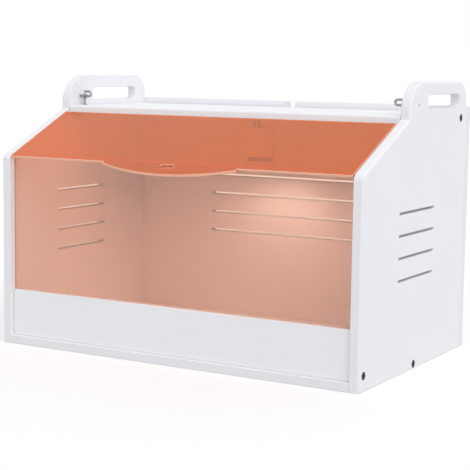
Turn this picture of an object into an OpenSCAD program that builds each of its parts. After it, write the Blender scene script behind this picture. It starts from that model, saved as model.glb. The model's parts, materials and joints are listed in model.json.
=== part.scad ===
// Chick brooder box: white board case with a sloped see-through door,
// a fixed front window, a roof lid hinged at its rear and a hanging warming lamp.
// Millimetres. Front is -Y, +Z is up, the floor is z = 0 and x = 0 is the middle.

/* [Case boards] */
// Width across the outer faces of the two side panels
case_w = 480; // [400:1:600]
// Depth from the front edges of the sides to the rear face of the back panel
case_d = 300; // [260:1:380]
// Thickness of the side, back and front boards
board_t = 12; // [10:0.5:15]
// Thickness of the floor board
base_t = 10; // [8:0.5:14]
// Height of the upright front edge of the side panels
front_h = 229; // [190:1:270]
// Slope of the upper front edge and of the door
slope_deg = 25; // [18:0.5:32]
// Radius of the corner between the upright front edge and the slope
front_r = 10; // [7:0.5:20]
// Height of the back panel, up to its rim
back_h = 295; // [285:1:320]
// Radius on the outer edges of the side panels, from the front up over the lugs
edge_r = 4; // [1:0.5:6]
// Play between boards that are slotted together
board_gap = 0.4; // [0.2:0.1:1]

/* [Handles] */
// Height of the handle lugs, the highest point of the box
lug_h = 325; // [315:1:350]
// Setback of the lug's front edge behind the front of the case
lug_setback = 116.5; // [100:0.5:130]
// Radius of the lug's front corner
lug_front_r = 36; // [20:1:38]
// Radius of the lug's rear corner
lug_rear_r = 23.5; // [10:0.5:28]
// Length of the hand hole
hand_l = 98; // [80:1:104]
// Height of the hand hole
hand_h = 16; // [12:0.5:17]
// Corner radius of the hand hole
hand_r = 6; // [3:0.5:6]
// Wall left above the hand hole
hand_wall = 15; // [12:0.5:18]
// Distance from the lug's rear edge to the hand hole
hand_rear = 23.5; // [18:0.5:30]

/* [Vent slots] */
// Number of slots in each side and in the back
slot_n = 4; // [1:1:4]
// Height of each slot
slot_h = 3; // [2:0.5:4]
// Spacing of the slots
slot_pitch = 25; // [20:0.5:27]
// Length of the side slots
side_slot_l = 100; // [60:1:120]
// Height of the top side slot
side_slot_z = 181; // [160:1:185]
// Setback of the side slots behind the middle of the depth
side_slot_y = -5; // [-15:1:15]
// Length of the back slots
back_slot_l = 235; // [150:1:260]
// Height of the top back slot
back_slot_z = 195; // [160:1:200]

/* [Front panel and window] */
// Height of the front panel's top edge
panel_h = 66; // [50:1:90]
// Setback of the front panel behind the front edges
panel_recess = 5; // [3:0.5:10]
// Thickness of the window and the door
pane_t = 3; // [2:0.5:4]
// Depth of the grooves that hold the window
groove_d = 5; // [3:0.5:6]
// Play of the window in its grooves
groove_play = 0.3; // [0.2:0.1:0.6]

/* [Door] */
// Length of the door along the slope
door_l = 119.5; // [100:0.5:121]
// Play between the door and each side panel
door_gap = 1; // [0.6:0.1:2]
// Width of the curved lip below the door
lip_w = 178; // [120:1:240]
// Drop of the lip at its middle
lip_drop = 22; // [14:0.5:28]
// Drop of the lip at its two ends
lip_step = 3.5; // [1:0.5:6]
// Length of the finger slot
finger_l = 17.5; // [15:0.5:26]
// Height of the finger slot
finger_h = 7.5; // [6:0.5:12]
// Distance of the finger slot below the door's straight edge
finger_s = 3.4; // [2:0.1:6]
// Diameter of the door's pivot pins
door_pin_d = 4; // [3:0.5:5]
// Distance of the pivot pins from the door's top edge
door_pin_s = 6; // [6:0.5:9]

/* [Roof lid] */
// Height of the lid's upper face
lid_top_h = 287.5; // [284:0.5:290]
// Thickness of the lid board
lid_t = 12; // [10:0.5:14]
// Radius on the lid's upper front edge
lid_edge_r = 3; // [1:0.5:5]
// Play between the lid and each side panel
lid_side_gap = 0.6; // [0.4:0.1:1.5]
// Play between the lid and the back panel
lid_rear_gap = 1.6; // [1.5:0.1:3]
// Distance of the pivot screws in front of the back panel
pivot_back = 18; // [16:0.5:24]
// Diameter of the plain shank of the pivot screws
pivot_d = 5; // [4:0.5:6]
// Length of the pivot screws inside the lid
pivot_reach = 16; // [12:1:22]
// Radial play of every pin that turns or slides in a hole
pin_play = 0.06; // [0.03:0.01:0.1]
// Width of the cable notch in the rim and in the lid's rear edge
notch_w = 12; // [8:0.5:16]
// Depth of the notch in the lid's rear edge
notch_d = 12; // [8:0.5:14]
// Drop of the notch in the rim below the lid's upper face
notch_drop = 4; // [1:0.5:8]
// Length of the rests below the lid's front corners
rest_l = 60; // [30:1:90]
// Width of the rests
rest_w = 10; // [6:0.5:14]
// Height of the rests
rest_h = 8; // [6:0.5:12]
// Setback of the rests behind the lid's front edge
rest_back = 10; // [5:1:20]
// Play between the rests and the lid
rest_play = 0.3; // [0.2:0.1:0.6]

/* [Latches] */
// Wire diameter of the latch pins
latch_d = 3; // [2.5:0.1:4]
// Height of the latch pins above the lid
latch_h = 11; // [10:0.5:13]
// Distance of the latch pins behind the lug's front edge
latch_y = 24; // [20:0.5:30]
// Spacing of the two legs of the bent wire
latch_leg = 6; // [5.5:0.1:9]
// Length of the long leg
latch_l = 13.5; // [12:0.5:20]
// Length of the short leg
latch_short = 7.5; // [5:0.5:8.5]
// Outer diameter of the eye that guides the pin
eye_d = 6.6; // [6:0.1:8.4]
// Width of the eye along the pin
eye_w = 3.5; // [3:0.5:5]
// Distance of the eye from the side panel
eye_x = 7; // [6:0.5:8]
// Radial play of the latch pins in the lugs
latch_play = 0.35; // [0.2:0.05:0.5]

/* [Screws] */
// Head diameter of the case screws
head_d = 9; // [7:0.5:10]
// Depth of the countersunk head
head_h = 3; // [2:0.5:4]
// Shank diameter of the case screws
shank_d = 4; // [3:0.5:5]
// Length of the case screws
screw_l = 34; // [26:1:40]
// Height of the front panel's screws
front_screw_z = 17; // [15:0.5:40]
// Setback of the base screws from the middle of the depth
base_screw_y = -4.5; // [-60:0.5:60]
// Height of the lowest screws behind the back panel
back_screw_z = 30; // [20:1:60]
// Distance of the top screws of the back panel below its rim
back_screw_drop = 35; // [25:1:60]
// Play around screws and studs
screw_play = 0.1; // [0.05:0.05:0.2]

/* [Lamp] */
// Diameter of the lamp housing at its lower end
lamp_d = 38; // [36:0.5:46]
// Diameter of the lamp housing at its upper end
lamp_top_d = 34.5; // [34:0.5:38]
// Distance of the lamp's axis behind the middle of the depth
lamp_y = 60.5; // [50:0.5:70]
// Gap between the lid and the housing
lamp_drop = 12.5; // [10:0.5:20]
// Height of the housing
lamp_h = 37; // [30:0.5:45]
// Height of the dark neck below the housing
neck_h = 5.5; // [4:0.5:9]
// Height of the flared shade
shade_h = 13.5; // [12:0.5:18]
// Diameter of the shade's lower rim
shade_d = 52; // [48:0.5:64]
// Wall of the housing, the neck and the shade
lamp_wall = 2; // [1.5:0.1:3]
// Diameter of the two hanging studs
stud_d = 3; // [2.5:0.1:4]
// Spacing of the two hanging studs
stud_gap = 6; // [5:0.5:9]
// Distance of the studs in front of the lamp's axis
stud_front = 11; // [8:0.5:11.5]
// Diameter of the bulb
bulb_d = 24; // [20:0.5:24]
// Diameter of the bulb's neck
bulb_neck_d = 14; // [12:0.5:14]
// Height of the bulb above the shade's rim
bulb_up = 2; // [1:0.5:6]
// Diameter of the lamp holder
socket_d = 22; // [19:0.5:24]
// Length of the lamp holder
socket_h = 20; // [16:0.5:22]
// Diameter of the cable gland's collar
gland_d = 10; // [9:0.5:11]
// Height of the cable gland's collar
gland_h = 3; // [2:0.5:6]
// Diameter of the cable hole through the gland
gland_bore = 5; // [4:0.5:5.5]
// Distance of the gland behind the lamp's axis
gland_back = 8; // [6:0.5:8.5]

/* [Hidden] */
$fn = 64;

eps = 1;
half_w = case_w / 2;
in_x = half_w - board_t;
y_front = -case_d / 2;
y_back = case_d / 2;
y_rear = y_back - board_t;
lug_y = y_front + lug_setback;
shoulder_z = front_h + lug_setback * tan(slope_deg);
hand_y1 = y_rear - hand_rear;
hand_z1 = lug_h - hand_wall;
front_cy = y_front + front_r;
front_cz = front_h + front_r * tan(slope_deg) - front_r / cos(slope_deg);
slope_l = lug_setback / cos(slope_deg);
lug_cz = lug_h - lug_front_r;
edge_lap = 0.3;

panel_y = y_front + panel_recess;
pane_y = panel_y + board_t / 2;
groove_w = pane_t + 2 * groove_play;
pane_z0 = panel_h - groove_d + groove_play;
pane_front = pane_y - pane_t / 2;
pane_gap = 0.6;
pane_z1 = front_h + (pane_front - y_front) * tan(slope_deg) - pane_t / cos(slope_deg) - pane_gap;

lip_sag = lip_drop - lip_step;
lip_r = (lip_w * lip_w / 4 + lip_sag * lip_sag) / (2 * lip_sag);
door_w = 2 * (in_x - door_gap);
door_axis_s = door_l - door_pin_s;
door_block_wall = 1.5;
door_axis_n = pane_t + door_pin_d / 2 + door_block_wall;
door_block_l = 10;
door_block_w = 9;
door_block_h = door_pin_d + 2 * door_block_wall;
door_pin_in = 8;

lid_z0 = lid_top_h - lid_t;
lid_w = 2 * (in_x - lid_side_gap);
lid_y0 = lug_y;
lid_y1 = y_rear - lid_rear_gap;
pivot_y = y_rear - pivot_back;
pivot_z = lid_top_h - lid_t / 2;
pivot_l = board_t + lid_side_gap + pivot_reach;
notch_z = lid_top_h - notch_drop;

latch_ay = lug_y + latch_y;
latch_az = lid_top_h + latch_h;
latch_clear = 0.6;
latch_tip = in_x - latch_clear;
latch_bend_x = latch_tip - latch_l;
eye_mid = in_x - eye_x;
eye_stem_d = 3;
eye_stem_in = 8;
eye_flange_d = eye_stem_d + 2.4;
eye_flange_h = 1.2;

lamp_top = lid_z0 - lamp_drop;
lamp_z0 = lamp_top - lamp_h;
neck_z0 = lamp_z0 - neck_h;
shade_z0 = neck_z0 - shade_h;
lamp_taper = (lamp_d - lamp_top_d) / (2 * lamp_h);
lamp_chamfer = 2;
neck_d = lamp_d - 6.5;
neck_r = neck_d / 2 - lamp_wall;
neck_lap = 5;
neck_play = 0.2;
collar_r = lamp_d / 2 - lamp_wall - neck_play;
shade_top_r = neck_d / 2 + 0.6;
bulb_z = shade_z0 + bulb_up + bulb_d / 2;
bulb_play = 0.3;
socket_roof = 4;
gland_thread_d = gland_d - 3;
gland_thread_play = 0.1;
stud_in = 8;

// Outline of a side panel, drawn with depth along x and height along y
module side_outline() {
  difference() {
    polygon([[y_front, 0], [y_front, front_h], [lug_y, shoulder_z], [lug_y, lug_h],
      [y_rear, lug_h], [y_rear, 0]]);
    front_corner_cut();
    translate([lug_y, lug_h]) mirror([0, 1]) corner_cut(lug_front_r);
    translate([y_rear, lug_h]) rotate(180) corner_cut(lug_rear_r);
    translate([hand_y1 - hand_l, hand_z1 - hand_h]) rounded_box(hand_l, hand_h, hand_r);
    for (i = [0 : slot_n - 1])
      translate([side_slot_y - side_slot_l / 2, side_slot_z - slot_h / 2 - i * slot_pitch])
        rounded_box(side_slot_l, slot_h, slot_h / 2 - 0.05);
  }
}

// What is cut away to round a corner at the origin, between +x and +y
module corner_cut(r) {
  difference() {
    translate([-eps, -eps]) square(r + eps);
    translate([r, r]) circle(r);
  }
}

// What is cut away to round the corner between the upright front edge and the slope
module front_corner_cut() {
  difference() {
    polygon([[front_cy, front_cz], [y_front - eps, front_cz], [y_front - eps, front_h + eps],
      [front_cy - (front_r + eps) * sin(slope_deg), front_cz + (front_r + eps) * cos(slope_deg)]]);
    translate([front_cy, front_cz]) circle(front_r);
  }
}

// Rectangle with round corners, from its lower left corner
module rounded_box(w, h, r) {
  translate([r, 0]) square([w - 2 * r, h]);
  translate([0, r]) square([w, h - 2 * r]);
  for (x = [r, w - r], y = [r, h - r])
    translate([x, y]) circle(r, $fn = 32);
}

// What is cut away along an outer edge: a little less than a full quarter round
module edge_profile() {
  difference() {
    translate([-eps, -eps]) square(edge_r + eps);
    translate([edge_r, edge_r]) circle(edge_r * 1.03);
  }
}

// How far a straight run of the rounded edge goes on past the start of a corner
function overrun(r) = 1.5 * sqrt(2 * r * edge_lap);

// Rounds the right panel's outer edge along a straight run, which goes up when turn is 0
module edge_run(y, z, turn, l) {
  translate([half_w, y, z]) rotate([turn, 0, 0]) rotate(90) linear_extrude(l) edge_profile();
}

// Rounds the right panel's outer edge around a corner of its outline
module edge_turn(y, z, r, from, angle) {
  translate([half_w, y, z]) rotate([from, 0, 0]) rotate([90, 0, 90]) rotate_extrude(angle = angle)
    translate([r + edge_lap, 0]) rotate(180) edge_profile();
}

// Space behind a plane across the panel that leans forward by turn, or in front of it when side is 0
module beside(y, z, turn, side) {
  translate([half_w, y, z]) rotate([turn, 0, 0])
    translate([-lug_h, 2 * lug_h * (side - 1), -lug_h]) cube(2 * lug_h);
}

// Turns a drawing in depth and height into a board standing across x
module across_x(x0, t) {
  translate([x0, 0, 0]) rotate([90, 0, 90]) linear_extrude(t) children();
}

// Round bar along +x from a point
module bar_x(p, d, l) {
  translate(p) rotate([0, 90, 0]) cylinder(d = d, h = l);
}

// Countersunk screw along -x, its flat head at the origin
module screw_x(d, l, play) {
  rotate([0, -90, 0]) rotate_extrude()
    polygon([[0, -play * 5], [head_d / 2 + play, -play * 5], [head_d / 2 + play, 0.4],
      [d / 2 + play, head_h + play], [d / 2 + play, l - d / 2], [0.6 + play, l + play], [0, l + play]]);
}

// Cross recess pressed into a screw head at the origin, facing +x
module cross_recess() {
  translate([-1.4, -0.5, -2.1]) cube([2, 1, 4.2]);
  translate([-1.4, -2.1, -0.5]) cube([2, 4.2, 1]);
}

// The door's own frame: x across, y up the slope from the front edge, z out of the door
module on_slope() {
  translate([0, y_front, front_h]) rotate([slope_deg, 0, 0]) children();
}

module side_screws() {
  difference() {
    union() {
      translate([half_w, pane_y, front_screw_z]) screw_x(shank_d, screw_l, 0);
      translate([half_w, base_screw_y, base_t / 2]) screw_x(shank_d, screw_l, 0);
    }
    translate([half_w, pane_y, front_screw_z]) cross_recess();
    translate([half_w, base_screw_y, base_t / 2]) cross_recess();
  }
}

module side_screw_holes(play) {
  translate([half_w, pane_y, front_screw_z]) screw_x(shank_d, screw_l, play);
  translate([half_w, base_screw_y, base_t / 2]) screw_x(shank_d, screw_l, play);
}

module back_screw_places() {
  for (x = [-half_w + board_t / 2, half_w - board_t / 2])
    for (z = [back_screw_z, back_h / 2, back_h - back_screw_drop])
      translate([x, y_back, z]) rotate([0, 0, 90]) children();
}

module lid_pivot_hole() {
  translate([half_w, pivot_y, pivot_z]) screw_x(pivot_d, pivot_l, pin_play);
}

module side_panel() {
  difference() {
    across_x(in_x, board_t) side_outline();
    // rounded outer edge: front, corner, slope, lug front, lug corner, lug top, rear corner, rear
    edge_run(y_front, -eps, 0, front_cz + eps + overrun(front_r));
    edge_turn(front_cy, front_cz, front_r, 90 + slope_deg, 90 - slope_deg);
    intersection() {
      edge_run(y_front, front_h, slope_deg - 90, slope_l + edge_r);
      beside(lug_y, shoulder_z, (90 + slope_deg) / 2, 0);
    }
    intersection() {
      edge_run(lug_y, shoulder_z - edge_r, 0, lug_cz - shoulder_z + edge_r + overrun(lug_front_r));
      beside(lug_y, shoulder_z, (90 + slope_deg) / 2, 1);
    }
    edge_turn(lug_y + lug_front_r, lug_cz, lug_front_r, 90, 90);
    edge_run(lug_y + lug_front_r - overrun(lug_front_r), lug_h, -90,
      y_rear - lug_rear_r - lug_y - lug_front_r + overrun(lug_front_r) + overrun(lug_rear_r));
    edge_turn(y_rear - lug_rear_r, lug_h - lug_rear_r, lug_rear_r, 0, 90);
    edge_run(y_rear, lug_h - lug_rear_r + overrun(lug_rear_r), 180,
      overrun(lug_rear_r) + max(lug_h - lug_rear_r - back_h, 0));
    // groove for the window
    translate([in_x - eps, pane_y - groove_w / 2, pane_z0 - groove_play])
      cube([groove_d + eps, groove_w, pane_z1 - pane_z0 + 2 * groove_play]);
    side_screw_holes(screw_play);
    lid_pivot_hole();
    bar_x([in_x - eps, latch_ay, latch_az], latch_d + 2 * latch_play, board_t + 2 * eps);
    on_slope()
      bar_x([in_x - eps, door_axis_s, -door_axis_n], door_pin_d + 2 * pin_play, door_pin_in + 2 * eps);
    back_screw_places() screw_x(shank_d, screw_l, screw_play);
  }
}

module right_side_panel() {
  color("white") side_panel();
}

module left_side_panel() {
  color("white") mirror([1, 0, 0]) side_panel();
}

module back_panel() {
  color("white") difference() {
    translate([-half_w, y_rear, 0]) cube([case_w, board_t, back_h]);
    translate([-notch_w / 2, y_rear - eps, notch_z]) cube([notch_w, board_t + 2 * eps, back_h]);
    for (i = [0 : slot_n - 1])
      translate([-back_slot_l / 2, y_back + eps, back_slot_z - slot_h / 2 - i * slot_pitch])
        rotate([90, 0, 0]) linear_extrude(board_t + 2 * eps)
          rounded_box(back_slot_l, slot_h, slot_h / 2 - 0.05);
    back_screw_places() screw_x(shank_d, screw_l, screw_play);
  }
}

module base_panel() {
  color("white") difference() {
    translate([-in_x, y_front, 0]) cube([2 * in_x, case_d - board_t, base_t]);
    side_screw_holes(screw_play);
    mirror([1, 0, 0]) side_screw_holes(screw_play);
  }
}

module front_panel() {
  color("white") difference() {
    translate([-in_x + board_gap, panel_y, base_t])
      cube([2 * (in_x - board_gap), board_t, panel_h - base_t]);
    translate([-in_x, pane_y - groove_w / 2, panel_h - groove_d])
      cube([2 * in_x, groove_w, groove_d + eps]);
    side_screw_holes(screw_play);
    mirror([1, 0, 0]) side_screw_holes(screw_play);
  }
}

module window_pane() {
  color("sandybrown", 0.5)
    translate([-in_x - groove_d + groove_play, pane_front, pane_z0])
      cube([2 * (in_x + groove_d - groove_play), pane_t, pane_z1 - pane_z0]);
}

module side_screws_right() {
  color("black") side_screws();
}

module side_screws_left() {
  color("black") mirror([1, 0, 0]) side_screws();
}

module back_screws() {
  color("black") back_screw_places() difference() {
    screw_x(shank_d, screw_l, 0);
    cross_recess();
  }
}

module lid_pivot() {
  translate([half_w, pivot_y, pivot_z]) difference() {
    screw_x(pivot_d, pivot_l, 0);
    cross_recess();
  }
}

module lid_pivot_right() {
  color("black") lid_pivot();
}

module lid_pivot_left() {
  color("black") mirror([1, 0, 0]) lid_pivot();
}

// Block below the lid's front corner, glued to the side panel
module lid_rest() {
  translate([in_x - rest_w, lid_y0 + rest_back, lid_z0 - rest_play - rest_h])
    cube([rest_w, rest_l, rest_h]);
}

module lid_rest_right() {
  color("white") lid_rest();
}

module lid_rest_left() {
  color("white") mirror([1, 0, 0]) lid_rest();
}

// Outline of the door with its curved lip and the finger slot
module door_outline() {
  difference() {
    union() {
      translate([-door_w / 2, 0]) square([door_w, door_l]);
      intersection() {
        translate([0, lip_r - lip_drop]) circle(lip_r, $fn = 128);
        translate([-lip_w / 2, -lip_drop - eps]) square([lip_w, lip_drop + 2 * eps]);
      }
    }
    translate([-finger_l / 2, -finger_s - finger_h / 2])
      rounded_box(finger_l, finger_h, finger_h / 2 - 0.05);
  }
}

module door_pane() {
  color("darkorange", 0.6) on_slope()
    translate([0, 0, -pane_t]) linear_extrude(pane_t) door_outline();
}

// Pivot block under the door's top corner, with its pin in the side panel
module door_pivot() {
  on_slope() {
    translate([in_x - door_gap - door_block_l, door_axis_s - door_block_w / 2, -pane_t - door_block_h])
      cube([door_block_l, door_block_w, door_block_h]);
    bar_x([in_x - door_gap - eps, door_axis_s, -door_axis_n], door_pin_d, door_gap + eps + door_pin_in);
  }
}

module door_pivot_right() {
  color("whitesmoke") door_pivot();
}

module door_pivot_left() {
  color("whitesmoke") mirror([1, 0, 0]) door_pivot();
}

module eye_hole() {
  translate([eye_mid, latch_ay, lid_top_h - eye_stem_in - 0.2])
    cylinder(d = eye_stem_d + 2 * screw_play, h = eye_stem_in + eps);
}

module roof_lid() {
  color("white") difference() {
    translate([-lid_w / 2, lid_y0, lid_z0]) cube([lid_w, lid_y1 - lid_y0, lid_t]);
    across_x(-half_w, case_w) translate([lid_y0, lid_top_h]) mirror([0, 1]) corner_cut(lid_edge_r);
    translate([-notch_w / 2, lid_y1 - notch_d, lid_z0 - eps])
      cube([notch_w, notch_d + eps, lid_t + 2 * eps]);
    lid_pivot_hole();
    mirror([1, 0, 0]) lid_pivot_hole();
    eye_hole();
    mirror([1, 0, 0]) eye_hole();
    stud_places() translate([0, 0, lid_z0 - eps])
      cylinder(d = stud_d + 2 * screw_play, h = stud_in + 2 * screw_play + eps);
  }
}

// Screw eye on the lid that guides the latch pin
module latch_eye() {
  difference() {
    union() {
      translate([eye_mid, latch_ay, lid_top_h - eye_stem_in])
        cylinder(d = eye_stem_d, h = eye_stem_in + latch_h - latch_d / 2 - 0.6);
      translate([eye_mid, latch_ay, lid_top_h]) cylinder(d = eye_flange_d, h = eye_flange_h);
      bar_x([eye_mid - eye_w / 2, latch_ay, latch_az], eye_d, eye_w);
    }
    bar_x([eye_mid - eye_w, latch_ay, latch_az], latch_d + 2 * pin_play, 2 * eye_w);
  }
}

module latch_eye_right() {
  color("silver") latch_eye();
}

module latch_eye_left() {
  color("silver") mirror([1, 0, 0]) latch_eye();
}

// Bent wire pin: a long leg through the eye, a half turn and a short leg above it
module latch_pin() {
  bar_x([latch_bend_x, latch_ay, latch_az], latch_d, latch_l);
  bar_x([latch_bend_x, latch_ay, latch_az + latch_leg], latch_d, latch_short);
  translate([latch_bend_x, latch_ay, latch_az + latch_leg / 2]) rotate([90, -90, 0])
    rotate_extrude(angle = 180) translate([latch_leg / 2, 0]) circle(d = latch_d);
}

module latch_pin_right() {
  color("silver") latch_pin();
}

module latch_pin_left() {
  color("silver") mirror([1, 0, 0]) latch_pin();
}

module stud_places() {
  for (x = [-stud_gap / 2, stud_gap / 2])
    translate([x, lamp_y - stud_front, 0]) children();
}

module lamp_studs() {
  color("black") stud_places()
    translate([0, 0, lamp_top - lamp_wall]) cylinder(d = stud_d, h = lamp_drop + lamp_wall + stud_in);
}

module lamp_housing() {
  color("white") difference() {
    translate([0, lamp_y, 0]) rotate_extrude()
      polygon([[0, lamp_top], [lamp_top_d / 2 - lamp_chamfer, lamp_top],
        [lamp_top_d / 2, lamp_top - lamp_chamfer], [lamp_d / 2, lamp_z0], [lamp_d / 2 - lamp_wall, lamp_z0],
        [lamp_top_d / 2 - lamp_wall, lamp_top - lamp_wall], [0, lamp_top - lamp_wall]]);
    stud_places() translate([0, 0, lamp_top - lamp_wall - eps])
      cylinder(d = stud_d + 2 * screw_play, h = lamp_wall + 2 * eps);
    translate([0, lamp_y + gland_back, lamp_top - lamp_wall - eps])
      cylinder(d = gland_thread_d + 2 * gland_thread_play, h = lamp_wall + 2 * eps);
  }
}

// Dark ring between the housing and the shade
module lamp_neck() {
  color("black") translate([0, lamp_y, 0]) rotate_extrude()
    polygon([[neck_r, neck_z0], [neck_d / 2, neck_z0], [neck_d / 2, lamp_z0], [collar_r, lamp_z0],
      [collar_r - neck_lap * lamp_taper, lamp_z0 + neck_lap], [neck_r, lamp_z0 + neck_lap]]);
}

module lamp_shade() {
  color("white") translate([0, lamp_y, 0]) rotate_extrude()
    polygon([[neck_r, neck_z0], [neck_r, neck_z0 - lamp_wall],
      [shade_top_r - lamp_wall / 2, neck_z0 - lamp_wall], [shade_d / 2 - lamp_wall, shade_z0],
      [shade_d / 2, shade_z0], [shade_top_r, neck_z0]]);
}

// Lamp holder hanging from the housing's top plate
module lamp_socket() {
  color("ivory") translate([0, lamp_y, lamp_top - lamp_wall - socket_h]) difference() {
    cylinder(d = socket_d, h = socket_h);
    translate([0, 0, -eps]) cylinder(d = bulb_neck_d + 2 * bulb_play, h = socket_h - socket_roof + eps);
  }
}

module lamp_bulb() {
  color("lightyellow", 0.7) translate([0, lamp_y, bulb_z]) {
    sphere(d = bulb_d);
    cylinder(d = bulb_neck_d, h = lamp_top - lamp_wall - socket_roof - eps - bulb_z);
  }
}

// Cable gland in the housing's top plate
module lamp_gland() {
  color("white") translate([0, lamp_y + gland_back, lamp_top]) difference() {
    union() {
      cylinder(d = gland_d, h = gland_h);
      translate([0, 0, -lamp_wall]) cylinder(d = gland_thread_d, h = lamp_wall + eps);
    }
    translate([0, 0, -lamp_wall - eps]) cylinder(d = gland_bore, h = lamp_wall + gland_h + 2 * eps);
  }
}

left_side_panel();
right_side_panel();
back_panel();
base_panel();
front_panel();
window_pane();
side_screws_left();
side_screws_right();
back_screws();
lid_pivot_left();
lid_pivot_right();
lid_rest_left();
lid_rest_right();
door_pane();
door_pivot_left();
door_pivot_right();
roof_lid();
latch_eye_left();
latch_eye_right();
latch_pin_left();
latch_pin_right();
lamp_studs();
lamp_housing();
lamp_neck();
lamp_shade();
lamp_socket();
lamp_bulb();
lamp_gland();
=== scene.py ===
"""Chick brooder box: the looks of a white board case with an amber flap door and window,
a roof lid with two pin latches, and a warming lamp under the lid."""

import json
import math

import bmesh
import bpy
from mathutils import Matrix, Vector


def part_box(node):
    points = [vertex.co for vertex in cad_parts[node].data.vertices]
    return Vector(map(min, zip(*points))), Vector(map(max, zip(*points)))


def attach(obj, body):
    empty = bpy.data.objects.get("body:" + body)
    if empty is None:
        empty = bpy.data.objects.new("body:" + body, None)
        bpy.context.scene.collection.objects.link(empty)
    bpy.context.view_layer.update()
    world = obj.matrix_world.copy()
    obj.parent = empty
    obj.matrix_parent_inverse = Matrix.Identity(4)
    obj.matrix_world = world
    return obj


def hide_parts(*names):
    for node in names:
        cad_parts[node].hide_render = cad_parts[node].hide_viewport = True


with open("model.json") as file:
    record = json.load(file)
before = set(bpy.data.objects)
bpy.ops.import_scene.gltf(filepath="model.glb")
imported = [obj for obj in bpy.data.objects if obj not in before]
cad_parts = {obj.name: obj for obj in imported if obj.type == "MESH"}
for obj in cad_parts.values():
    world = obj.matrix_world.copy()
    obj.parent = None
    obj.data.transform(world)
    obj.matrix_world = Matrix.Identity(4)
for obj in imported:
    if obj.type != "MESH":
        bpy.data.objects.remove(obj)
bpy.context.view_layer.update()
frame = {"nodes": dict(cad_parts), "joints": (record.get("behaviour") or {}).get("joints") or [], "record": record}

# Viewpoint: the box is seen from its front right corner, a little above the lid,
# through a long lens, so that its upright edges stay nearly parallel.
EYE = (0.8187, -1.4005, 0.3401)
TURN, DROP, ROLL = math.radians(30.324), math.radians(7.221), math.radians(0.77)
SENSOR_MM = 36.0
FOCAL_PX, PICTURE_PX = 1338.4, 470

ahead = Vector((-math.sin(TURN) * math.cos(DROP),
                math.cos(TURN) * math.cos(DROP),
                -math.sin(DROP)))
level = Vector((math.cos(TURN), math.sin(TURN), 0.0))
rise = level.cross(ahead)
right = math.cos(ROLL) * level + math.sin(ROLL) * rise
upward = math.cos(ROLL) * rise - math.sin(ROLL) * level

lens = bpy.data.cameras.new("viewpoint")
lens.sensor_width = SENSOR_MM
lens.lens = FOCAL_PX / PICTURE_PX * SENSOR_MM
lens.clip_start, lens.clip_end = 0.05, 50.0
viewpoint = bpy.data.objects.new("viewpoint", lens)
viewpoint.matrix_world = Matrix.Translation(EYE) @ Matrix((right, upward, -ahead)).transposed().to_4x4()
bpy.context.scene.collection.objects.link(viewpoint)
bpy.context.scene.camera = viewpoint


# Studio: a sweep of pale paper in an even tent, with a wide diffuser high at the front right.
# The paper reads white to the eye and in reflections, and keeps the shadow of the box.
def linear(hex_colour):
    """An sRGB hex colour as the linear red, green, blue and alpha that shaders take."""
    channels = [int(hex_colour[i:i + 2], 16) / 255 for i in (1, 3, 5)]
    bent = [c / 12.92 if c <= 0.04045 else ((c + 0.055) / 1.055) ** 2.4 for c in channels]
    return (*bent, 1.0)


def add(tree, kind, inputs=None, **settings):
    """Adds a node to a tree: settings are its properties, inputs are values or links for its sockets."""
    node = tree.nodes.new(kind)
    for key, value in settings.items():
        setattr(node, key, value)
    for key, value in (inputs or {}).items():
        if isinstance(value, bpy.types.NodeSocket):
            tree.links.new(value, node.inputs[key])
        else:
            node.inputs[key].default_value = value
    return node


def new_material(name):
    """An empty node material and its output node."""
    material = bpy.data.materials.new(name)
    material.use_nodes = True
    material.node_tree.nodes.clear()
    return material, material.node_tree, material.node_tree.nodes.new("ShaderNodeOutputMaterial")


def seen_ray(tree):
    """One for a ray from the eye, also by way of gloss or glass, and zero for a ray that only lights."""
    path = add(tree, "ShaderNodeLightPath").outputs
    seen = path["Is Camera Ray"]
    for way in ("Is Glossy Ray", "Is Transmission Ray"):
        seen = add(tree, "ShaderNodeMath", {0: seen, 1: path[way]}, operation="MAXIMUM").outputs[0]
    return seen


TENT_LIGHT, TENT_SEEN = 0.80, 1.0
tent = bpy.data.worlds.new("white_tent")
bpy.context.scene.world = tent
tent.use_nodes = True
tent.node_tree.nodes.clear()
strength = add(tent.node_tree, "ShaderNodeMapRange",
               {"Value": seen_ray(tent.node_tree), "To Min": TENT_LIGHT, "To Max": TENT_SEEN})
sky = add(tent.node_tree, "ShaderNodeBackground",
          {"Color": linear("#FFFFFF"), "Strength": strength.outputs[0]})
add(tent.node_tree, "ShaderNodeOutputWorld", {"Surface": sky.outputs[0]})

KEY_LEVEL, KEY_SPREAD = 1.26, math.radians(55)
KEY_FROM = Vector((0.56, -0.43, 0.71))
diffuser = bpy.data.lights.new("overhead_diffuser", "SUN")
diffuser.energy, diffuser.angle = KEY_LEVEL, KEY_SPREAD
overhead = bpy.data.objects.new("overhead_diffuser", diffuser)
overhead.rotation_mode = "QUATERNION"
overhead.rotation_quaternion = KEY_FROM.to_track_quat("Z", "Y")
bpy.context.scene.collection.objects.link(overhead)

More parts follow.
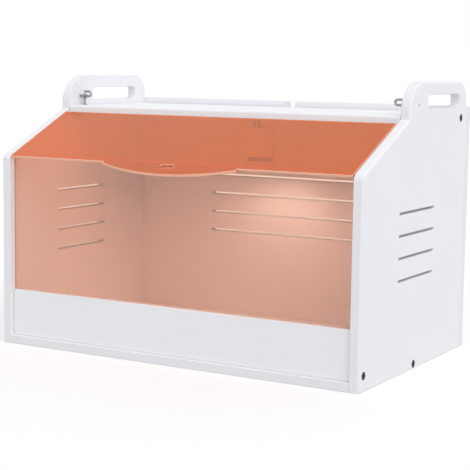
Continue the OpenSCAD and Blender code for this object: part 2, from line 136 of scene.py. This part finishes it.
# the sheet lies a hair below the box, so that the two faces never share a plane
PAPER, PAPER_LIFT = "#D4D4D4", 0.30
PAPER_HALF, PAPER_Z = 6.0, -0.0004
floor_mesh = bpy.data.meshes.new("floor")
corners = [(x * PAPER_HALF, y * PAPER_HALF, PAPER_Z) for x, y in ((-1, -1), (1, -1), (1, 1), (-1, 1))]
floor_mesh.from_pydata(corners, [], [(0, 1, 2, 3)])
floor = bpy.data.objects.new("floor", floor_mesh)
bpy.context.scene.collection.objects.link(floor)
paper, tree, out = new_material("pale_paper_sweep")
lift = add(tree, "ShaderNodeMath", {0: seen_ray(tree), 1: PAPER_LIFT}, operation="MULTIPLY")
sheet = add(tree, "ShaderNodeBsdfPrincipled",
            {"Base Color": linear(PAPER), "Roughness": 0.95, "Specular IOR Level": 0.0,
             "Emission Color": linear("#FFFFFF"), "Emission Strength": lift.outputs[0]})
tree.links.new(sheet.outputs[0], out.inputs["Surface"])
floor_mesh.materials.append(paper)

bpy.context.scene.view_settings.view_transform = "Standard"

# Case boards: two side panels, back, base and low front panel, routed from white expanded PVC board.
# They are glued and screwed edge to face, and the router leaves every arris slightly rounded.
BOARD_WHITE, BOARD_SHADE = "#EDEDF1", "#E8E8ED"
CORE_WHITE, CORE_SHADE = "#E8E8EC", "#E3E3E8"
DRIFT_MM, SPECK_MM, PVC_IOR = 90, 5, 1.52


def scale_of(millimetres):
    """The texture scale, in repeats a metre, that gives a pattern of that size."""
    return 1000.0 / millimetres


def board_material(name, base, shade, peel_mm, peel_depth, roughness):
    """Expanded PVC: a dull white skin with a faint orange peel and slow drifts of tone."""
    material, tree, out = new_material(name)
    place = add(tree, "ShaderNodeTexCoord").outputs["Object"]
    drift = add(tree, "ShaderNodeTexNoise", {"Vector": place, "Scale": scale_of(DRIFT_MM), "Detail": 3.0})
    # a colour Mix takes its two colours at sockets 6 and 7, and gives the result at output 2
    tone = add(tree, "ShaderNodeMix", {0: drift.outputs["Fac"], 6: linear(base), 7: linear(shade)},
               data_type="RGBA")
    speck = add(tree, "ShaderNodeTexNoise",
                {"Vector": place, "Scale": scale_of(SPECK_MM), "Detail": 6.0, "Roughness": 0.7})
    shine = add(tree, "ShaderNodeMapRange",
                {"Value": speck.outputs["Fac"], "From Min": 0.3, "From Max": 0.7,
                 "To Min": roughness - 0.06, "To Max": roughness + 0.08})
    # the real peel is near 0.8 mm, drawn coarser so that it still shows a pixel wide
    peel = add(tree, "ShaderNodeTexNoise", {"Vector": place, "Scale": scale_of(peel_mm), "Detail": 2.0})
    bump = add(tree, "ShaderNodeBump",
               {"Height": peel.outputs["Fac"], "Strength": 0.35, "Distance": peel_depth})
    skin = add(tree, "ShaderNodeBsdfPrincipled",
               {"Base Color": tone.outputs[2], "Roughness": shine.outputs[0], "IOR": PVC_IOR,
                "Normal": bump.outputs[0]})
    tree.links.new(skin.outputs[0], out.inputs["Surface"])
    return material


board_skin = board_material("expanded_PVC_skin", BOARD_WHITE, BOARD_SHADE,
                            peel_mm=2.6, peel_depth=0.00006, roughness=0.46)
board_edge = board_material("expanded_PVC_routed_edge", CORE_WHITE, CORE_SHADE,
                            peel_mm=1.5, peel_depth=0.00012, roughness=0.62)

EASE_BOARD, EASE_STEPS, HOLE_REACH = 0.0008, 3, 0.007
# points within WELD become one, faces bent less than FLAT become one, and a bend past SHARP is an edge
WELD, FLAT, SHARP = 2e-6, math.radians(0.5), math.radians(40)
FLOOR_GAP, SQUARE_ON = 1e-5, 0.999


def eased_copy(node, name, ease, materials, across, holes=()):
    """A copy of a CAD board or sheet with its outer edges rounded by ease, its faces smooth where they curve.
    Faces square to the axis across take the first material, and the cut edges take the second.
    The rims of the given small holes stay plain, and so do edges that stand on the floor."""
    mesh = bmesh.new()
    mesh.from_mesh(frame["nodes"][node].data)
    bmesh.ops.remove_doubles(mesh, verts=mesh.verts, dist=WELD)
    bmesh.ops.dissolve_limit(mesh, angle_limit=FLAT, verts=mesh.verts, edges=mesh.edges)

    def spared(edge):
        ends = [v.co for v in edge.verts]
        on_floor = all(end.z < FLOOR_GAP for end in ends)
        at_hole = any(all((end - hole).length < HOLE_REACH for end in ends) for hole in holes)
        return on_floor or at_hole

    edges = [e for e in mesh.edges
             if e.is_manifold and e.is_convex and e.calc_face_angle(0) > SHARP and not spared(e)]
    bmesh.ops.bevel(mesh, geom=edges, offset=ease, segments=EASE_STEPS, profile=0.5,
                    affect="EDGES", clamp_overlap=False)
    for face in mesh.faces:
        face.smooth = True
        face.material_index = 0 if abs(face.normal.dot(Vector(across))) > SQUARE_ON else 1
    for edge in mesh.edges:
        edge.smooth = edge.calc_face_angle(math.pi) < SHARP
    made = bpy.data.meshes.new(name)
    mesh.to_mesh(made)
    mesh.free()
    if "custom_normal" in made.attributes:
        made.attributes.remove(made.attributes["custom_normal"])
    for material in materials:
        made.materials.append(material)
    piece = bpy.data.objects.new(name, made)
    bpy.context.scene.collection.objects.link(piece)
    # wide flat faces keep their own direction, and the narrow rounded strips blend between them
    shading = piece.modifiers.new("flat_faces", "WEIGHTED_NORMAL")
    shading.mode, shading.weight, shading.keep_sharp = "FACE_AREA", 100, True
    graph = bpy.context.evaluated_depsgraph_get()
    piece.data = bpy.data.meshes.new_from_object(piece.evaluated_get(graph))
    piece.modifiers.clear()
    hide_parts(node)
    return piece


def repaint(node, material):
    """Gives a CAD node, whose shape stays as it is, its real material."""
    finishes = frame["nodes"][node].data.materials
    finishes.clear()
    finishes.append(material)


# screws, pins and bores enter the boards at places that the frame gives: those of the right side, mirrored
HEAD_D, WIRE_D = 0.009, 0.003
MIRROR = {"left": Vector((-1, 1, 1)), "right": Vector((1, 1, 1))}


def both(places):
    """Places of the right side, each with its mirror image at the left."""
    return [place * mirror for place in places for mirror in MIRROR.values()]


def moved_to(x, place):
    """The point with the height and depth of a place, at the given distance from the box's middle."""
    return Vector((x, place.y, place.z))


axis_at = {joint["name"]: Vector(joint["pos_m"]) for joint in frame["joints"] if "pos_m" in joint}
low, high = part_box("right_side_panel")
inner_x, outer_x, rear_y = low.x, high.x, high.y
low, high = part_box("side_screws_right")
front_screw = Vector((outer_x, low.y + HEAD_D / 2, high.z - HEAD_D / 2))
base_screw = Vector((outer_x, high.y - HEAD_D / 2, low.z + HEAD_D / 2))
lid_pivot = moved_to(outer_x, axis_at["lid_flip"])
low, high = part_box("latch_pin_right")
latch_bore = Vector((outer_x, (low.y + high.y) / 2, low.z + WIRE_D / 2))
low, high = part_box("back_screws")
back_screws = [Vector((high.x - HEAD_D / 2, high.y, z))
               for z in (low.z + HEAD_D / 2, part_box("back_panel")[1].z / 2, high.z - HEAD_D / 2)]

side_holes = [moved_to(x, place) for place in (front_screw, base_screw, lid_pivot, latch_bore)
              for x in (inner_x, outer_x)]
side_holes.append(moved_to(inner_x, axis_at["door_flap"]))
side_holes += [Vector((place.x, rear_y, place.z)) for place in back_screws]
for side, mirror in MIRROR.items():
    panel = eased_copy(f"{side}_side_panel", f"side_board_{side}", EASE_BOARD, (board_skin, board_edge),
                       (1, 0, 0), [hole * mirror for hole in side_holes])
    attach(panel, "case")
    repaint(f"lid_rest_{side}", board_edge)

back_holes = [Vector((place.x, y, place.z)) for place in back_screws for y in (rear_y, place.y)]
base_holes = [moved_to(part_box("base_panel")[1].x, base_screw)]
front_holes = [moved_to(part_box("front_panel")[1].x, front_screw)]
for node, name, across, holes in (("back_panel", "back_board", (0, 1, 0), back_holes),
                                  ("base_panel", "floor_board", (0, 0, 1), base_holes),
                                  ("front_panel", "front_board", (0, 1, 0), front_holes)):
    board = eased_copy(node, name, EASE_BOARD, (board_skin, board_edge), across, both(holes))
    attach(board, "case")

# Window: a pale amber cast acrylic sheet, 3 mm thick, standing in grooves of the front panel and the sides.
# Its faces are polished, and its sawn edges scatter light, so they look paler than the sheet.
WINDOW_TINT, WINDOW_LIGHT, WINDOW_EDGE = "#FBCFB8", "#FFF9F5", "#F6C4AA"
ACRYLIC_IOR, SMEAR_MM, SAW_MM = 1.49, 40, 1.2
EASE_SHEET = 0.0006


def acrylic_material(name, tint, light, clearness, index):
    """Cast acrylic: a tinted depth, clear or milky, under a hard gloss. Light passes with a paler tint."""
    material, tree, out = new_material(name)
    place = add(tree, "ShaderNodeTexCoord").outputs["Object"]
    # fingermarks and wiping leave the gloss a little uneven, in patches
    smear = add(tree, "ShaderNodeTexNoise", {"Vector": place, "Scale": scale_of(SMEAR_MM), "Detail": 5.0})
    gloss = add(tree, "ShaderNodeMapRange",
                {"Value": smear.outputs["Fac"], "From Min": 0.35, "From Max": 0.75,
                 "To Min": 0.0, "To Max": 0.05})
    glass = add(tree, "ShaderNodeBsdfPrincipled",
                {"Base Color": linear(tint), "Roughness": gloss.outputs[0], "IOR": index,
                 "Transmission Weight": clearness})
    clear = add(tree, "ShaderNodeBsdfTransparent", {"Color": linear(light)})
    path = add(tree, "ShaderNodeLightPath").outputs
    lamp_ray = add(tree, "ShaderNodeMath", {0: path["Is Shadow Ray"], 1: path["Is Diffuse Ray"]},
                   operation="MAXIMUM")
    pane = add(tree, "ShaderNodeMixShader",
               {0: lamp_ray.outputs[0], 1: glass.outputs[0], 2: clear.outputs[0]})
    tree.links.new(pane.outputs[0], out.inputs["Surface"])
    return material


def acrylic_edge_material(name, tint):
    """A sawn acrylic edge: frosted and paler than the sheet, with the fine marks of the saw."""
    material, tree, out = new_material(name)
    place = add(tree, "ShaderNodeTexCoord").outputs["Object"]
    saw = add(tree, "ShaderNodeTexNoise", {"Vector": place, "Scale": scale_of(SAW_MM), "Detail": 3.0})
    bump = add(tree, "ShaderNodeBump", {"Height": saw.outputs["Fac"], "Strength": 0.4, "Distance": 0.00008})
    rough = add(tree, "ShaderNodeMapRange", {"Value": saw.outputs["Fac"], "To Min": 0.3, "To Max": 0.55})
    frost = add(tree, "ShaderNodeBsdfPrincipled",
                {"Base Color": linear(tint), "Roughness": rough.outputs[0], "IOR": ACRYLIC_IOR,
                 "Normal": bump.outputs[0]})
    tree.links.new(frost.outputs[0], out.inputs["Surface"])
    return material


window_acrylic = acrylic_material("amber_acrylic_pale", WINDOW_TINT, WINDOW_LIGHT,
                                  clearness=1.0, index=ACRYLIC_IOR)
window_edge = acrylic_edge_material("amber_acrylic_pale_edge", WINDOW_EDGE)
window = eased_copy("window_pane", "window_sheet", EASE_SHEET, (window_acrylic, window_edge), (0, 1, 0))
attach(window, "case")

# Screws: black oxide countersunk screws with a cross recess, flush in the boards.
# Two hold each side to the front and base, six hold the back, and one at each side carries the lid.
SCREW_BLACK, SCREW_WORN = "#1B1B1D", "#3A3A3C"
RUB_MM, RUB_RANGE = 1.5, (0.45, 0.75)
HEAD_DEPTH, RIM = 0.003, 0.0004
RECESS_L, RECESS_W, RECESS_DEPTH = 0.0046, 0.0011, 0.0019
CASE_SHANK_D, PIVOT_SHANK_D = 0.004, 0.005

# black oxide on steel is near black with a satin sheen, and handling rubs it greyer in small spots
black_oxide, tree, out = new_material("black_oxide_steel")
place = add(tree, "ShaderNodeTexCoord").outputs["Object"]
rub = add(tree, "ShaderNodeTexNoise", {"Vector": place, "Scale": scale_of(RUB_MM), "Detail": 4.0})
worn = add(tree, "ShaderNodeValToRGB", {"Fac": rub.outputs["Fac"]})
for stop, position, colour in zip(worn.color_ramp.elements, RUB_RANGE, (SCREW_BLACK, SCREW_WORN)):
    stop.position = position
    stop.color = linear(colour)
satin = add(tree, "ShaderNodeMapRange", {"Value": rub.outputs["Fac"], "To Min": 0.35, "To Max": 0.6})
steel = add(tree, "ShaderNodeBsdfPrincipled",
            {"Base Color": worn.outputs[0], "Metallic": 0.35, "Roughness": satin.outputs[0]})
tree.links.new(steel.outputs[0], out.inputs["Surface"])

screw_tree = bpy.data.node_groups.new("countersunk_screws", "GeometryNodeTree")
sockets = {}
for label, kind in (("Places", "NodeSocketGeometry"), ("Head Diameter", "NodeSocketFloat"),
                    ("Head Depth", "NodeSocketFloat"), ("Rim", "NodeSocketFloat"),
                    ("Shank Diameter", "NodeSocketFloat"), ("Length", "NodeSocketFloat"),
                    ("Recess Length", "NodeSocketFloat"), ("Recess Width", "NodeSocketFloat"),
                    ("Recess Depth", "NodeSocketFloat"), ("Finish", "NodeSocketMaterial")):
    sockets[label] = screw_tree.interface.new_socket(label, in_out="INPUT", socket_type=kind)
screw_tree.interface.new_socket("Screws", in_out="OUTPUT", socket_type="NodeSocketGeometry")
given = add(screw_tree, "NodeGroupInput").outputs
halved = {key: add(screw_tree, "ShaderNodeMath", {0: given[key], 1: 0.5}, operation="MULTIPLY").outputs[0]
          for key in ("Head Diameter", "Shank Diameter")}
# the blank is a cylinder of four rings, a unit apart: each gets its girth, and its depth below the head's top
SIDES, RINGS = 40, 4
blank = add(screw_tree, "GeometryNodeMeshCylinder",
            {"Vertices": SIDES, "Side Segments": RINGS - 1, "Radius": 1.0, "Depth": RINGS - 1})
spot = add(screw_tree, "ShaderNodeSeparateXYZ", {0: add(screw_tree, "GeometryNodeInputPosition").outputs[0]})
# this is half a unit more than a ring's number, and the switches round it down
ring = add(screw_tree, "ShaderNodeMath", {0: RINGS / 2, 1: spot.outputs["Z"]}, operation="SUBTRACT")
picked = []
for sizes in ((halved["Head Diameter"], halved["Head Diameter"],
               halved["Shank Diameter"], halved["Shank Diameter"]),
              (None, given["Rim"], given["Head Depth"], given["Length"])):
    pick = add(screw_tree, "GeometryNodeIndexSwitch", {"Index": ring.outputs[0]}, data_type="FLOAT")
    for position, size in enumerate(sizes):
        if position >= len(pick.index_switch_items):
            pick.index_switch_items.new()
        if size:
            screw_tree.links.new(size, pick.inputs[position + 1])
    picked.append(pick.outputs[0])
girth, depth = picked
wide = [add(screw_tree, "ShaderNodeMath", {0: spot.outputs[axis], 1: girth}, operation="MULTIPLY").outputs[0]
        for axis in "XY"]
down = add(screw_tree, "ShaderNodeMath", {0: depth, 1: -1.0}, operation="MULTIPLY")
ring_at = add(screw_tree, "ShaderNodeCombineXYZ", {"X": wide[0], "Y": wide[1], "Z": down.outputs[0]})
screw = add(screw_tree, "GeometryNodeSetPosition",
            {"Geometry": blank.outputs["Mesh"], "Position": ring_at.outputs[0]}).outputs[0]
# two crossed bars, half above the head, cut the recess
bar_h = add(screw_tree, "ShaderNodeMath", {0: given["Recess Depth"], 1: 2.0}, operation="MULTIPLY")
bar_size = add(screw_tree, "ShaderNodeCombineXYZ",
               {"X": given["Recess Length"], "Y": given["Recess Width"], "Z": bar_h.outputs[0]})
bar = add(screw_tree, "GeometryNodeMeshCube", {"Size": bar_size.outputs[0]})
bar_turned = add(screw_tree, "GeometryNodeTransform",
                 {"Geometry": bar.outputs["Mesh"], "Rotation": (0, 0, math.pi / 2)})
for cutter in (bar.outputs["Mesh"], bar_turned.outputs[0]):
    screw = add(screw_tree, "GeometryNodeMeshBoolean", {"Mesh 1": screw, "Mesh 2": cutter},
                operation="DIFFERENCE", solver="EXACT").outputs["Mesh"]
aim = add(screw_tree, "GeometryNodeInputNamedAttribute", {"Name": "facing"}, data_type="FLOAT_VECTOR")
turned = add(screw_tree, "FunctionNodeAlignRotationToVector", {"Vector": aim.outputs["Attribute"]}, axis="Z")
driven = add(screw_tree, "GeometryNodeInstanceOnPoints",
             {"Points": given["Places"], "Instance": screw, "Rotation": turned.outputs[0]})
real = add(screw_tree, "GeometryNodeRealizeInstances", {"Geometry": driven.outputs[0]})
finished = add(screw_tree, "GeometryNodeSetMaterial",
               {"Geometry": real.outputs[0], "Material": given["Finish"]})
add(screw_tree, "NodeGroupOutput", {0: finished.outputs[0]})


def drive_screws(name, node, places, facing, shank_d):
    """Screws that stand for a CAD node, as one plain mesh: heads at the given points, facing outwards."""
    low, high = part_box(node)
    length = abs((high - low).dot(facing))
    mesh = bpy.data.meshes.new(name)
    mesh.from_pydata(places, [], [])
    directions = mesh.attributes.new("facing", "FLOAT_VECTOR", "POINT")
    directions.data.foreach_set("vector", list(facing) * len(places))
    host = bpy.data.objects.new(name + "_places", mesh)
    bpy.context.scene.collection.objects.link(host)
    modifier = host.modifiers.new("screws", "NODES")
    modifier.node_group = screw_tree
    for label, value in (("Head Diameter", HEAD_D), ("Head Depth", HEAD_DEPTH), ("Rim", RIM),
                         ("Shank Diameter", shank_d), ("Length", length), ("Recess Length", RECESS_L),
                         ("Recess Width", RECESS_W), ("Recess Depth", RECESS_DEPTH), ("Finish", black_oxide)):
        modifier[sockets[label].identifier] = value
    graph = bpy.context.evaluated_depsgraph_get()
    piece = bpy.data.objects.new(name, bpy.data.meshes.new_from_object(host.evaluated_get(graph)))
    bpy.data.objects.remove(host)
    bpy.context.scene.collection.objects.link(piece)
    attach(piece, "case")
    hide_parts(node)


for side, mirror in MIRROR.items():
    outward = Vector((mirror.x, 0, 0))
    drive_screws(f"case_screws_{side}", f"side_screws_{side}", [front_screw * mirror, base_screw * mirror],
                 outward, CASE_SHANK_D)
    drive_screws(f"lid_pivot_screw_{side}", f"lid_pivot_{side}", [lid_pivot * mirror], outward, PIVOT_SHANK_D)
drive_screws("back_board_screws", "back_screws", both(back_screws), Vector((0, 1, 0)), CASE_SHANK_D)

# Door: a deeper, milky amber acrylic sheet lying on the slope, with a curved lip and a finger slot cut in it.
# Two white nylon pivot blocks are bonded under its top corners, and their pins turn in the sides.
DOOR_TINT, DOOR_LIGHT, DOOR_EDGE = "#EC7E2C", "#FBDCC8", "#F0B498"
# a quarter of the milky sheet scatters light, and its wiped surface mirrors less than fresh acrylic would
DOOR_CLEARNESS, DOOR_IOR = 0.75, 1.36
DOOR_SLOPE, FINGER_REACH = math.radians(25), 0.012
EDGE_ON, END_ON = 0.1, 0.95
door_acrylic = acrylic_material("amber_acrylic_milky", DOOR_TINT, DOOR_LIGHT, DOOR_CLEARNESS, DOOR_IOR)
door_edge = acrylic_edge_material("amber_acrylic_milky_edge", DOOR_EDGE)
door_up = Vector((0, -math.sin(DOOR_SLOPE), math.cos(DOOR_SLOPE)))
door = eased_copy("door_pane", "door_sheet", EASE_SHEET, (door_acrylic, door_edge), door_up)
openings = {opening["name"]: opening["box_m"] for opening in frame["record"]["physics"]["openings"]}
low, high = (Vector(corner) for corner in openings["finger_slot"])
finger_slot = (low + high) / 2
for face in door.data.polygons:
    # the two ends and the walls of the finger slot are polished, so they keep the sheet's own colour
    cut = abs(face.normal.dot(door_up)) < EDGE_ON
    if cut and (abs(face.normal.x) > END_ON or (face.center - finger_slot).length < FINGER_REACH):
        face.material_index = 0
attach(door, "door")

# injection-moulded nylon is off-white and waxy, with the fine even grain of its mould
NYLON_WHITE, GRAIN_MM, NYLON_IOR = "#E9E8E4", 0.9, 1.53
moulded_nylon, tree, out = new_material("moulded_white_nylon")
place = add(tree, "ShaderNodeTexCoord").outputs["Object"]
grain = add(tree, "ShaderNodeTexNoise", {"Vector": place, "Scale": scale_of(GRAIN_MM), "Detail": 2.0})
bump = add(tree, "ShaderNodeBump", {"Height": grain.outputs["Fac"], "Strength": 0.3, "Distance": 0.00005})
dull = add(tree, "ShaderNodeMapRange", {"Value": grain.outputs["Fac"], "To Min": 0.4, "To Max": 0.6})
nylon = add(tree, "ShaderNodeBsdfPrincipled",
            {"Base Color": linear(NYLON_WHITE), "Roughness": dull.outputs[0], "IOR": NYLON_IOR,
             "Normal": bump.outputs[0]})
tree.links.new(nylon.outputs[0], out.inputs["Surface"])
for side in MIRROR:
    repaint(f"door_pivot_{side}", moulded_nylon)

# Roof lid: one more PVC board, which lies between the lugs and turns on the two pivot screws.
# A notch in its rear edge lines up with the one in the back board's rim.
STUD_D = 0.003
low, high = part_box("roof_lid")
pivot_hole = moved_to(high.x, lid_pivot)
eye_low, eye_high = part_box("latch_eye_right")
eye_hole = Vector(((eye_low.x + eye_high.x) / 2, latch_bore.y, high.z))
stud_low, stud_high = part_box("lamp_studs")
stud_hole = Vector((stud_high.x - STUD_D / 2, (stud_low.y + stud_high.y) / 2, low.z))
roof = eased_copy("roof_lid", "roof_board", EASE_BOARD, (board_skin, board_skin), (0, 0, 1),
                  both([pivot_hole, eye_hole, stud_hole]))
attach(roof, "lid")

# Latches: a bent bright steel wire that slides through a plated screw eye into each lug.
# The wire is drawn, cut and bent back on itself, so that a finger can push it.
# Its nickel plate mirrors what is around it, broken by fine lines along the drawn wire; its colour is darker than
# fresh nickel, as a painted reflection of dark surroundings that makes it stand out on white.
WIRE_NICKEL_PAINTED_DARK, LINE_MM, LINE_STRETCH = "#A2A2A7", 0.4, 20
bright_wire, tree, out = new_material("nickel_plated_steel")
place = add(tree, "ShaderNodeTexCoord").outputs["Object"]
drawn = add(tree, "ShaderNodeMapping", {"Vector": place, "Scale": (1 / LINE_STRETCH, 1.0, 1.0)})
lines = add(tree, "ShaderNodeTexNoise",
            {"Vector": drawn.outputs[0], "Scale": scale_of(LINE_MM), "Detail": 2.0})
polish = add(tree, "ShaderNodeMapRange", {"Value": lines.outputs["Fac"], "To Min": 0.06, "To Max": 0.2})
plate = add(tree, "ShaderNodeBsdfPrincipled",
            {"Base Color": linear(WIRE_NICKEL_PAINTED_DARK), "Metallic": 1.0, "Roughness": polish.outputs[0]})
tree.links.new(plate.outputs[0], out.inputs["Surface"])
for side in MIRROR:
    repaint(f"latch_eye_{side}", bright_wire)
    repaint(f"latch_pin_{side}", bright_wire)

# Warming lamp: a spun and white-enamelled steel housing and shade with a neck ring between them, coloured near
# black as painted shade for the dark gap there.
# It hangs on two black studs under the roof, and a porcelain holder inside carries the bulb.
ENAMEL_WHITE, NECK_SHADE_DARK, PORCELAIN = "#E9E7E2", "#2A2320", "#EFEAE0"


def plain_finish(name, colour, roughness, grain_mm, depth):
    """A smooth factory finish with a fine unevenness of the given size in its gloss."""
    material, tree, out = new_material(name)
    place = add(tree, "ShaderNodeTexCoord").outputs["Object"]
    grain = add(tree, "ShaderNodeTexNoise", {"Vector": place, "Scale": scale_of(grain_mm), "Detail": 3.0})
    bump = add(tree, "ShaderNodeBump", {"Height": grain.outputs["Fac"], "Strength": 0.25, "Distance": depth})
    gloss = add(tree, "ShaderNodeMapRange",
                {"Value": grain.outputs["Fac"], "To Min": roughness - 0.08, "To Max": roughness + 0.08})
    coat = add(tree, "ShaderNodeBsdfPrincipled",
               {"Base Color": linear(colour), "Roughness": gloss.outputs[0], "Normal": bump.outputs[0]})
    tree.links.new(coat.outputs[0], out.inputs["Surface"])
    return material


# enamel is a glassy off-white with slow ripples, the neck is brown-black and dull as painted shade for the gap
# between housing and shade, and glaze is ivory and wet
enamel = plain_finish("white_enamelled_steel", ENAMEL_WHITE, roughness=0.35, grain_mm=3.0, depth=0.00006)
neck_shade_finish = plain_finish("dark_neck_painted_shade", NECK_SHADE_DARK, roughness=0.5, grain_mm=1.5, depth=0.00006)
porcelain = plain_finish("glazed_porcelain", PORCELAIN, roughness=0.2, grain_mm=4.0, depth=0.00005)
# frosted glass that is lit from within sends out white light and reflects little of its own,
# and it is too bright to look into, so the eye gets it dimmed: cream at the tip, amber towards the holder
BULB_GLASS, GLOW, GLOW_TIP, GLOW_SIDE = "#2A261F", "#FDFAF4", "#FFF3DC", "#FFC878"
GLOW_STRENGTH, GLOW_SEEN, GLOW_FADE, FROST_MM = 60.0, 1.0, 0.021, 6
lit_glass, tree, out = new_material("frosted_bulb_glass_lit")
place = add(tree, "ShaderNodeTexCoord").outputs["Object"]
height = add(tree, "ShaderNodeSeparateXYZ", {0: place}).outputs["Z"]
mouth_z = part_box("lamp_shade")[0].z
off_tip = add(tree, "ShaderNodeMapRange",
              {"Value": height, "From Min": mouth_z, "From Max": mouth_z + GLOW_FADE})
warm = add(tree, "ShaderNodeMix", {0: off_tip.outputs[0], 6: linear(GLOW_TIP), 7: linear(GLOW_SIDE)},
           data_type="RGBA")
seen = seen_ray(tree)
colour = add(tree, "ShaderNodeMix", {0: seen, 6: linear(GLOW), 7: warm.outputs[2]}, data_type="RGBA")
power = add(tree, "ShaderNodeMapRange", {"Value": seen, "To Min": GLOW_STRENGTH, "To Max": GLOW_SEEN})
frost = add(tree, "ShaderNodeTexNoise", {"Vector": place, "Scale": scale_of(FROST_MM), "Detail": 2.0})
matt = add(tree, "ShaderNodeMapRange", {"Value": frost.outputs["Fac"], "To Min": 0.4, "To Max": 0.6})
bulb = add(tree, "ShaderNodeBsdfPrincipled",
           {"Base Color": linear(BULB_GLASS), "Roughness": matt.outputs[0], "Specular IOR Level": 0.1,
            "Emission Color": colour.outputs[2], "Emission Strength": power.outputs[0]})
tree.links.new(bulb.outputs[0], out.inputs["Surface"])
for node, finish in (("lamp_studs", black_oxide), ("lamp_housing", enamel), ("lamp_neck", neck_shade_finish),
                     ("lamp_shade", enamel), ("lamp_socket", porcelain), ("lamp_bulb", lit_glass),
                     ("lamp_gland", moulded_nylon)):
    repaint(node, finish)
